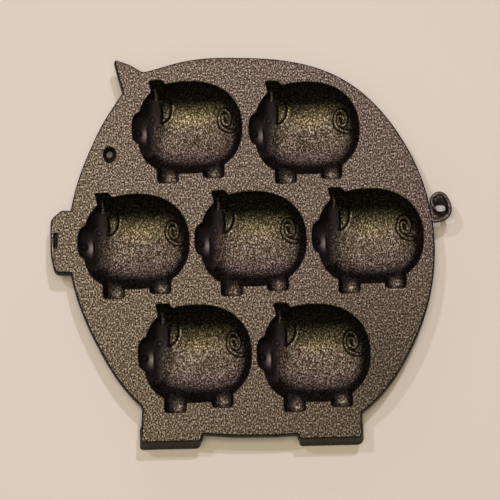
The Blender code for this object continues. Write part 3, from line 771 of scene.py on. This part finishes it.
class Casting:
    """Mesh put together from sheets and strips, in millimetres."""

    def __init__(self):
        self.points = []
        self.faces = []

    def sheet(self, plan, triangles, heights, upward):
        start = len(self.points)
        self.points += [(x, y, z) for (x, y), z in zip(plan, heights)]
        for a, b, c in triangles:
            face = (a, b, c) if upward else (c, b, a)
            self.faces.append(tuple(start + i for i in face))

    def strip(self, rings):
        """Quads between closed lines, given anticlockwise from the top to the bottom."""
        count = len(rings[0][0])
        start = len(self.points)
        for loop, z in rings:
            self.points += [(p[0], p[1], z) for p in loop]
        for row in range(len(rings) - 1):
            for i in range(count):
                j = (i + 1) % count
                top, low = start + row * count, start + (row + 1) * count
                self.faces.append((top + i, low + i, low + j, top + j))

    def cap(self, loop, z):
        start = len(self.points)
        self.points += [(p[0], p[1], z) for p in loop]
        self.faces.append(tuple(range(start, start + len(loop))))

    def build(self, name, offset, sharp_degrees):
        shape = bmesh.new()
        place = Vector(offset) + Vector(PAN_AT)
        corners = [shape.verts.new((Vector(p) + place) * MM) for p in self.points]
        for face in self.faces:
            if len(set(face)) > 2:
                shape.faces.new([corners[i] for i in face])
        bmesh.ops.remove_doubles(shape, verts=shape.verts, dist=2e-6)
        mesh = bpy.data.meshes.new(name)
        shape.to_mesh(mesh)
        shape.free()
        mesh.shade_smooth()
        mesh.set_sharp_from_angle(angle=math.radians(sharp_degrees))
        return placed(name, mesh)


def hollow_place(across, up, miss):
    return (MIDDLE_HOLLOW[0] + across * PITCH[0] + miss[0], MIDDLE_HOLLOW[1] + up * PITCH[1] + miss[1], 0.0)


def hollow_sheet(lip_loop):
    """Sheet of a hollow's surface, finest at its prints."""
    loops = [lip_loop] + [level_line(mouth_inside, level, HOLLOW_STEP) for level in LIP_LEVELS]
    grid = hex_grid(*HOLLOW_BOX, HOLLOW_STEP)
    fine = hex_grid(*HOLLOW_BOX, PRINT_STEP)
    grid = np.vstack([grid[~has_print(*grid.T)], fine[has_print(*fine.T)]])
    grid = grid[mouth_inside(*grid.T) > HOLLOW_MARGIN]
    plan, triangles = triangulated(loops, grid)
    return plan, triangles, hollow_height(*plan.T)


def shell_sheet():
    """Sheet of a shell's outside."""
    rim = level_line(shell_depth, SHELL_RIM, SHELL_RIM_STEP)
    grid = hex_grid(*SHELL_BOX, SHELL_STEP)
    grid = grid[shell_depth(*grid.T) > SHELL_INNER]
    plan, triangles = triangulated([rim], grid)
    return plan, triangles, -shell_depth(*plan.T)


def cup_casting():
    """Hollow and shell of one little pig, from the lip's outer edge to the ground."""
    lip_loop = level_line(mouth_inside, -LIP, HOLLOW_STEP)
    casting = Casting()
    casting.sheet(*hollow_sheet(lip_loop), True)
    casting.sheet(*shell_sheet(), False)
    return casting, lip_loop


def deck_edge():
    """Rings of the deck's side, from its rounded upper edge to its underside."""
    rings = []
    for degrees in EDGE_DEGREES:
        angle = math.radians(degrees)
        inward, down = EDGE_RADIUS * (1 - math.sin(angle)), EDGE_RADIUS * (1 - math.cos(angle))
        rings.append((deck_outline(-inward), -down))
    flare = DRAFT * DECK
    for inward, up in LOWER_EDGE:
        rings.append((deck_outline(flare - inward), up - DECK))
    return rings


def eye_rings():
    rings = []
    for share, wider, z in EYE_RINGS:
        halves = [top + (bottom - top) * share + wider for top, bottom in zip(EYE_TOP, EYE_BOTTOM)]
        middle = [place + drift * share for place, drift in zip(EYE_AT, EYE_DRIFT)]
        rings.append((oval(middle, halves * 2, 2.0, EYE_SIDES)[::-1], z))
    return rings


def nostril_rings():
    width, length = NOSTRIL_SIZE
    corners = [(NOSTRIL_AT[0] + across * width / 2, NOSTRIL_AT[1] + along * length / 2, NOSTRIL_ROUND * width)
               for across, along in RECTANGLE]
    return [(round_corners(move_corners(corners, wider))[::-1], z) for wider, z in NOSTRIL_RINGS]


def pierced_sheet(rim, holes, z):
    """Sheet of one face of the deck."""
    grid = hex_grid(*DECK_BOX, DECK_STEP)
    grid = grid[is_within(grid, deck_outline(-RIM_MARGIN))]
    for hole in holes:
        grid = grid[polygon_inside(*grid.T, hole) < -HOLE_MARGIN]
    plan, triangles = triangulated([rim, *holes], grid)
    for hole in holes:
        triangles = triangles[~is_within(plan[triangles].mean(axis=1), hole)]
    return plan, triangles, np.full(len(plan), z)


def deck_casting(lip_loop):
    """Deck with its rounded edge, the hollows' mouths, the eye and the nostril."""
    edge, eye, nostril = deck_edge(), eye_rings(), nostril_rings()
    mouths = [lip_loop + np.array(hollow_place(*where)[:2]) for _, *where in HOLLOWS]
    casting = Casting()
    casting.strip(edge)
    for loop in mouths:
        casting.strip([(loop[::-1], 0.0), (loop[::-1], -DECK)])
    casting.strip(eye)
    casting.strip(nostril)
    casting.cap(nostril[-1][0][::-1], -NOSTRIL_DEPTH)
    casting.sheet(*pierced_sheet(edge[0][0], [*mouths, eye[0][0], nostril[0][0]], 0.0), True)
    casting.sheet(*pierced_sheet(edge[-1][0], [*mouths, eye[-1][0]], -DECK), False)
    return casting


def curl_point(degrees, out):
    """Point at a distance outside the middle line of the tail's bead."""
    radius = value_along(TAIL_RADII, (degrees - TAIL_START_DEG) / TAIL_STEP_DEG) + out
    angle = math.radians(degrees)
    return TAIL_AT[0] + radius * math.cos(angle), TAIL_AT[1] + radius * math.sin(angle)


def solid_from(name, rings):
    """Closed solid through rings given from the top to the bottom."""
    casting = Casting()
    casting.strip(rings)
    casting.cap(rings[0][0], rings[0][1])
    casting.cap(rings[-1][0][::-1], rings[-1][1])
    return casting.build(name, (0, 0, 0), 180)


def apply_modifiers(item):
    evaluated = item.evaluated_get(bpy.context.evaluated_depsgraph_get())
    mesh = bpy.data.meshes.new_from_object(evaluated)
    item.modifiers.clear()
    item.data = mesh


def cut_or_join(item, other, operation):
    modifier = item.modifiers.new(other.name, 'BOOLEAN')
    modifier.operation = operation
    modifier.solver = 'EXACT'
    modifier.object = other
    apply_modifiers(item)
    bpy.data.objects.remove(other)


def tail_bead():
    """Tapering bead along the curl, as a closed mesh."""
    sides = TAIL_BEAD_SIDES
    upward = Vector((0, 0, 1))
    casting = Casting()
    for i in range(TAIL_BEAD_POINTS):
        t = i / (TAIL_BEAD_POINTS - 1)
        bead = TAIL_BEAD[0] + (TAIL_BEAD[1] - TAIL_BEAD[0]) * t
        degrees = TAIL_START_DEG + TAIL_STEP_DEG * (len(TAIL_RADII) - 1) * t
        ahead, back = curl_point(degrees + 0.5, 0.0), curl_point(degrees - 0.5, 0.0)
        along = Vector((ahead[0] - back[0], ahead[1] - back[1], 0)).normalized()
        side = Vector((-along.y, along.x, 0))
        centre = Vector((*curl_point(degrees, 0.0), -bead - TAIL_SINK * t ** 6))
        for k in range(sides):
            angle = 2 * math.pi * k / sides
            casting.points.append(tuple(centre + (side * math.cos(angle) + upward * math.sin(angle)) * bead))
    for row in range(TAIL_BEAD_POINTS - 1):
        for k in range(sides):
            a, b = row * sides + k, row * sides + (k + 1) % sides
            casting.faces.append((a, b, b + sides, a + sides))
    casting.faces.append(tuple(range(sides))[::-1])
    casting.faces.append(tuple((TAIL_BEAD_POINTS - 1) * sides + k for k in range(sides)))
    return casting.build("tail_bead", (0, 0, 0), 180)


def tail_rim(out):
    """Outline of the tail's web, at a distance outside the middle line of its bead."""
    sweep = TAIL_RIM_END_DEG - TAIL_START_DEG
    return [curl_point(TAIL_START_DEG + sweep * i / TAIL_RIM_POINTS, out) for i in range(TAIL_RIM_POINTS + 1)]


def tail_casting():
    """Curl of the tail, run together from its web, its bead and its funnel."""
    tail = solid_from("tail_casting", [(tail_rim(TAIL_BEAD[0]), TAIL_WEB_TOP),
                                       (tail_rim(TAIL_BEAD[0] - TAIL_TUCK), TAIL_UNDERSIDE)])
    mouth, hole = oval(*FUNNEL, FUNNEL_SIDES), oval(*TAIL_HOLE, FUNNEL_SIDES)
    funnel = solid_from("funnel", [(mouth, TAIL_WEB_TOP + 2), (mouth, TAIL_WEB_TOP),
                                   (hole, TAIL_UNDERSIDE + TAIL_HOLE_LENGTH)])
    cut_or_join(tail, funnel, 'DIFFERENCE')
    cut_or_join(tail, tail_bead(), 'UNION')
    cut_or_join(tail, solid_from("plug", [(hole, 2.0), (hole, TAIL_UNDERSIDE - 2.0)]), 'DIFFERENCE')
    remesh = tail.modifiers.new("run together", 'REMESH')
    remesh.mode = 'VOXEL'
    remesh.voxel_size = TAIL_VOXEL * MM
    smooth = tail.modifiers.new("cast softness", 'SMOOTH')
    smooth.factor, smooth.iterations = TAIL_SMOOTHING
    apply_modifiers(tail)
    tail.data.shade_smooth()
    return tail


def foot_outline(outer, inner, radii, spread, lean):
    """Outline of a foot's wall, a U open towards the pan, with its sides moved out."""
    away = math.copysign(1.0, outer - inner)
    outer_x, inner_x = outer + away * FOOT_SIDE_SHARE * spread, inner - away * lean
    bottom, top = LEG_END - spread, LEG_END + FOOT_RETURN
    wall = away * FOOT_WALL
    end, inside = FOOT_RADII
    corners = [(outer_x, top, end), (outer_x, bottom, radii[0]),
               (inner_x, bottom, radii[1]), (inner_x, top, end),
               (inner_x + wall, top, end), (inner_x + wall, bottom + FOOT_WALL, inside),
               (outer_x - wall, bottom + FOOT_WALL, inside), (outer_x - wall, top, end)]
    if away > 0:
        corners.reverse()
    return round_corners(corners)


def foot_casting(name, outer, inner, radii):
    """Wall under the end of a leg, which spreads towards the ground."""
    rings = []
    for share in FOOT_RINGS:
        spread = float(np.interp(share, *zip(*FOOT_SPREAD))) - (FOOT_TUCK if share == 1.0 else 0.0)
        lean = FOOT_SPREAD[0][1] - FOOT_INNER_LEAN * share
        rings.append((foot_outline(outer, inner, radii, spread, lean), -DECK - (PAN_AT[2] - DECK) * share))
    rings.insert(0, (rings[0][0], -DECK + FOOT_ROOT))
    foot = solid_from(name, rings)
    foot.data.set_sharp_from_angle(angle=math.radians(FOOT_SHARP_DEG))
    return foot


# Iron

# Painted light and shade first, then the iron's smoothness and the warmth of its colour
PAINTED_LIGHT_AND_FINISH = ("painted_light", "smooth", "warmth")


def node(tree, kind, **settings):
    made = tree.nodes.new(kind)
    for key, value in settings.items():
        setattr(made, key, value)
    return made


def new_material(name, roughness, specular):
    """Material with its node tree and its shader."""
    material = bpy.data.materials.new(name)
    material.use_nodes = True
    shader = material.node_tree.nodes["Principled BSDF"]
    shader.inputs["Roughness"].default_value = roughness
    shader.inputs["Specular IOR Level"].default_value = specular
    return material, material.node_tree, shader


def ramp_colour(tree, driver, stops):
    """Colour along a ramp, by what another node gives."""
    ramp = node(tree, 'ShaderNodeValToRGB')
    elements = ramp.color_ramp.elements
    while len(elements) < len(stops):
        elements.new(0.5)
    for element, (position, colour) in zip(elements, stops):
        element.position = position
        element.color = (*colour, 1)
    tree.links.new(driver.outputs["Fac"], ramp.inputs["Fac"])
    return ramp.outputs["Color"]


def add_bump(tree, shader, height, distance):
    """Gives a shader a bump, and hands back the input for its strength."""
    bump = node(tree, 'ShaderNodeBump')
    bump.inputs["Distance"].default_value = distance
    tree.links.new(height.outputs["Fac"], bump.inputs["Height"])
    tree.links.new(bump.outputs["Normal"], shader.inputs["Normal"])
    return bump.inputs["Strength"]


def mapped(tree, driver, low, high, first, last):
    """What a node gives, moved from one range into another."""
    step = node(tree, 'ShaderNodeMapRange')
    for name, limit in (("From Min", low), ("From Max", high), ("To Min", first), ("To Max", last)):
        step.inputs[name].default_value = limit
    tree.links.new(driver.outputs["Fac"], step.inputs["Value"])
    return step.outputs["Result"]


def noise_node(tree, where, scale, detail):
    noise = node(tree, 'ShaderNodeTexNoise')
    noise.inputs["Scale"].default_value = scale
    noise.inputs["Detail"].default_value = detail
    tree.links.new(where.outputs["Object"], noise.inputs["Vector"])
    return noise


def mixed(tree, kind, factor, first, second):
    """Colour mix of two outputs; the factor is a number or an output."""
    mix = node(tree, 'ShaderNodeMix', data_type='RGBA', blend_type=kind)
    if isinstance(factor, float):
        mix.inputs["Factor"].default_value = factor
    else:
        tree.links.new(factor, mix.inputs["Factor"])
    tree.links.new(first, mix.inputs["A"])
    tree.links.new(second, mix.inputs["B"])
    return mix.outputs["Result"]


def iron_colour(tree, grain, stain, painted_light, smooth, warmth):
    """Colour of the iron, by its grain, its stains, its painted light and shade, its smoothness and its
    warmth.
    """
    colours = [ramp_colour(tree, grain, stops) for stops in (SPECK_COLOURS, SMOOTH_COLOURS)]
    colour = mixed(tree, 'MIX', smooth.outputs["Fac"], *colours)
    for factor in (ramp_colour(tree, stain, STAIN_COLOURS), ramp_colour(tree, warmth, WARMTH_COLOURS),
                   painted_light.outputs["Color"]):
        colour = mixed(tree, 'MULTIPLY', 1.0, colour, factor)
    return colour


def iron_material(name):
    """Bare cast iron, black with oil: sand grain, whose lightest specks are painted glints."""
    material, tree, shader = new_material(name, *IRON_SHINE)
    links = tree.links
    where = node(tree, 'ShaderNodeTexCoord')
    stretched = node(tree, 'ShaderNodeVectorMath', operation='MULTIPLY')
    stretched.inputs[1].default_value = GRAIN_STRETCH
    links.new(where.outputs["Object"], stretched.inputs[0])
    grain = noise_node(tree, where, GRAIN_SCALE, 1.0)
    links.new(stretched.outputs["Vector"], grain.inputs["Vector"])
    stain = noise_node(tree, where, STAIN_SCALE, 1.0)
    painted_light, smooth, warmth = [node(tree, 'ShaderNodeAttribute', attribute_name=said) for said in PAINTED_LIGHT_AND_FINISH]
    links.new(iron_colour(tree, grain, stain, painted_light, smooth, warmth), shader.inputs["Base Color"])
    links.new(mapped(tree, smooth, *GRAIN_BUMP), add_bump(tree, shader, grain, GRAIN_DEPTH * MM))
    links.new(mapped(tree, painted_light, *GLEAM), shader.inputs["Metallic"])
    shader.inputs["Specular Tint"].default_value = IRON_TINT
    return material


# Stage

def floor_piece():
    """Pale table with slight clouds and folds."""
    mesh = bpy.data.meshes.new("floor")
    corners = [(across * FLOOR_HALF, along * FLOOR_HALF, 0) for across, along in RECTANGLE]
    mesh.from_pydata(corners, [], [(0, 1, 2, 3)])
    floor = placed("floor", mesh)
    floor.location.z = -FLOOR_DROP
    material, tree, shader = new_material("pale table", *FLOOR_SHINE)
    where = node(tree, 'ShaderNodeTexCoord')
    clouds = noise_node(tree, where, *FLOOR_CLOUDS)
    tree.links.new(ramp_colour(tree, clouds, FLOOR_COLOURS), shader.inputs["Base Color"])
    height, strength = FLOOR_BUMP
    add_bump(tree, shader, noise_node(tree, where, *FLOOR_FOLDS), height).default_value = strength
    mesh.materials.append(material)


def soft_box(name, place, size, power, colour):
    """Rectangular lamp that faces the pan."""
    light = bpy.data.lights.new(name, 'AREA')
    light.shape = 'RECTANGLE'
    light.size, light.size_y = size
    light.energy = power
    light.color = colour
    lamp = placed(name, light)
    lamp.location = place
    lamp.rotation_euler = (-Vector(place)).to_track_quat('-Z', 'Y').to_euler()


def world_light():
    world = bpy.data.worlds.new("room")
    bpy.context.scene.world = world
    world.use_nodes = True
    background = world.node_tree.nodes["Background"]
    background.inputs["Color"].default_value = ROOM_COLOUR
    background.inputs["Strength"].default_value = ROOM_STRENGTH


def camera():
    """Camera at the photograph's angle, on the side of the feet."""
    tilt = math.radians(CAMERA_TILT_DEG)
    eye = Vector(CAMERA_AIM) + Vector((0, -math.sin(tilt), math.cos(tilt))) * CAMERA_DISTANCE
    data = bpy.data.cameras.new("camera")
    data.sensor_width = SENSOR
    data.lens = SENSOR / PICTURE_WIDTH * CAMERA_DISTANCE / PIXEL
    data.shift_x, data.shift_y = [shift / PICTURE_WIDTH for shift in CAMERA_SHIFT]
    item = placed("camera", data)
    turn = Matrix.Rotation(tilt, 4, 'X') @ Matrix.Rotation(math.radians(CAMERA_ROLL_DEG), 4, 'Z')
    item.matrix_world = Matrix.Translation((eye + Vector(PAN_AT)) * MM) @ turn
    bpy.context.scene.camera = item


# Painted light and shade, and the iron's finish

def set_painted_light_and_finish(item, place, rule):
    """Stores for each point its painted light and shade, and how smooth and warm in colour its iron is."""
    mesh = item.data
    count = len(mesh.vertices)
    normals = np.empty(count * 3)
    mesh.vertex_normals.foreach_get("vector", normals)
    points = np.empty(count * 3)
    mesh.vertices.foreach_get("co", points)
    x, y, z = (points.reshape(-1, 3) / MM - np.array(PAN_AT) - np.array(place)).T
    upward = normals.reshape(-1, 3)[:, 2]
    for name, values in zip(PAINTED_LIGHT_AND_FINISH, rule(x, y, z, upward, place)):
        values = np.broadcast_to(values, count).astype(np.float32)
        mesh.attributes.new(name, 'FLOAT', 'POINT').data.foreach_set("value", values)


def relief_factor(lines, strength, least, most):
    """Painted light on a raised line, and painted shade on a sunk one."""
    return np.clip(1 + strength * lines, least, most)


def floor_bright(x, y, place):
    """Brightness of a hollow's floor: painted light in its middle, painted shade at its walls, and painted
    light again at the legs.
    """
    lit = 1 - eased(oval_share(x, y, *LIT), *LIT_FADE)
    wall = eased(oval_share(x, y, *BOWL), *WALL_FADE)
    tilt = UPPER_FLOOR_TILT[0] * place[0] + UPPER_FLOOR_TILT[1] * place[1]
    painted_light = LIT_BRIGHT * lit * (1 - spots(x, y, PAINTED_SHADE_SPOTS)) * (1 - wall) * (y > LIT_LOWEST)
    painted_light = painted_light * (1 + change(y, tilt, *UPPER_FLOOR))
    return LEAST_BRIGHT + painted_light + spots(x, y, FLOOR_SPOTS) + spots(x, y, LEG_SPOTS) * eased(-y, *LEG_FADE)


def leaf_glint(x, y):
    """Painted highlight on the line beside the near ear."""
    strength, distance = LEAF_GLINT
    line = strength * soft_line(leaf_inside(x, y) + distance, LINE_WIDTH)
    return line * eased(x, *LEAF_GLINT_LEFT) * (1 - eased(y, *LEAF_GLINT_TOP))


def face_share(x, y):
    """Share of smooth iron, whose edge is sharp above the eye and soft below it."""
    below_eye = 1 - eased(y, *BELOW_EYE)
    edge, softness = [above + (below - above) * below_eye for above, below in FACE_EDGE]
    oval_part = np.hypot((x - FACE_AT[0]) / FACE_HALVES[0], (y - FACE_AT[1]) / FACE_HALVES[1])
    return (1 - np.clip((x - edge) / softness, 0, 1)) * (1 - share_between(oval_part, *FACE_FADE))


def snout_patch(x, y):
    """Painted highlight on the snout, clear of its crease and the nostril."""
    nostril = point_distance(x, y, SMALL_NOSTRIL_AT)
    clear = (1 - eased(x, *PATCH_RIGHT)) * eased(nostril, *PATCH_NOSTRIL)
    return clear * spots(x, y, SNOUT_PATCH)


def face_bright(x, y, upward, patch):
    """Brightness of the face: painted light most on cheek, snout and the far ear's ridge, and painted shade
    on its steep walls.
    """
    face = FACE_BRIGHT + change(x, *CHEEK_CHANGE)
    face = face * (1 + change(y, *BROW_CHANGE)) * (1 + change(y, *EAR_CHANGE))
    face = face + PATCH_BRIGHT * patch + soft_line(line_distance(x, y, EAR_RIDGE), RIDGE_BEAD[0])
    return face * (FACE_WALL_SHARE + change(upward, 1 - FACE_WALL_SHARE, *FACE_WALL_FADE))


def cup_painted_light_and_finish(x, y, z, upward, place):
    """Painted light on the floors, painted shade on the walls, and the face was dressed smooth in the
    pattern.
    """
    lines = line_height(x, y)
    smooth = face_share(x, y)
    patch = snout_patch(x, y)
    floor = floor_bright(x, y, place) * relief_factor(lines, *FLOOR_RELIEF) + leaf_glint(x, y)
    face = face_bright(x, y, upward, patch) * relief_factor(lines, *FACE_RELIEF)
    painted_light = floor + (face - floor) * smooth
    # Painted shade on the lip and on the shell's underside
    painted_light = np.where(z > -LIP - SKIN, LIP_BRIGHT, painted_light)
    painted_light = np.where(upward < 0, SHELL_BRIGHT, painted_light)
    warmth = HOLLOW_WARMTH + change(y, *TOP_WARMTH) + change(-y, *BELLY_WARMTH)
    warmth += (1 - warmth) * smooth * (1 - PATCH_COOLNESS * patch)
    warmth += change(-y, *LEG_WARMTH)
    return painted_light, smooth, warmth


def deck_painted_light_and_finish(x, y, z, upward, place):
    """The top is bright, with painted light that changes over the pan; the edges, the eye and the nostril
    have painted shade.
    """
    top = DECK_BRIGHT * (1 + DECK_TILT[0] * x + DECK_TILT[1] * y - spots(x, y, DECK_PAINTED_SHADE_SPOTS))
    eye_reach, eye_bright = EYE_SIDE
    side = np.where(point_distance(x, y, EYE_AT) < eye_reach, eye_bright, SIDE_BRIGHT)
    amount, length_x, length_y = DECK_WARMTH_WAVE
    wave = amount * np.sin(x / length_x) * np.cos(y / length_y + 1)
    return np.where(z > -SKIN, top, side), 0.0, DECK_WARMTH + DECK_WARMTH_TILT * (x + y) + wave


def tail_painted_light_and_finish(x, y, z, upward, place):
    """Painted light on the bead, painted shade at its sides and deeper in the funnel."""
    top = TAIL_WALL_SHARE + change(upward, 1 - TAIL_WALL_SHARE, *TAIL_WALL_FADE)
    painted_light = DECK_BRIGHT * TAIL_BRIGHT * top * (1 + change(-z, *FUNNEL_CHANGE))
    return painted_light, TAIL_SMOOTH, TAIL_WARMTH


def foot_painted_light_and_finish(x, y, z, upward, place):
    """Painted shade at the top, and painted light where it spreads towards the ground."""
    low = (-z - DECK) / (PAN_AT[2] - DECK)
    glint, glint_at, glint_half = FOOT_GLINT
    painted_light = FOOT_BRIGHT + change(low, *FOOT_CHANGE) + glint * soft_line(low - glint_at, glint_half) ** 2
    return painted_light, 0.0, FOOT_WARMTH


# The whole picture

def dress(item, name, place, rule, material):
    """Gives a casting its painted light and shade, its finish and its iron, and puts it in the place of its
    node.
    """
    set_painted_light_and_finish(item, place, rule)
    item.data.materials.clear()
    item.data.materials.append(material)
    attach(item, "root")
    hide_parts(name)


def main():
    iron = iron_material("cast iron")
    middle = (0, 0, 0)
    cup, lip_loop = cup_casting()
    for name, *where in HOLLOWS:
        place = hollow_place(*where)
        dress(cup.build(name + "_casting", place, SHARP_DEG), name, place, cup_painted_light_and_finish, iron)
    dress(deck_casting(lip_loop).build("deck_casting", middle, SHARP_DEG), "deck", middle, deck_painted_light_and_finish, iron)
    dress(tail_casting(), "tail_curl", middle, tail_painted_light_and_finish, iron)
    for name, *sizes in FEET:
        dress(foot_casting(name + "_casting", *sizes), name, middle, foot_painted_light_and_finish, iron)
    floor_piece()
    world_light()
    for lamp in LAMPS:
        soft_box(*lamp)
    camera()
    bpy.context.scene.view_settings.view_transform = 'Standard'


main()
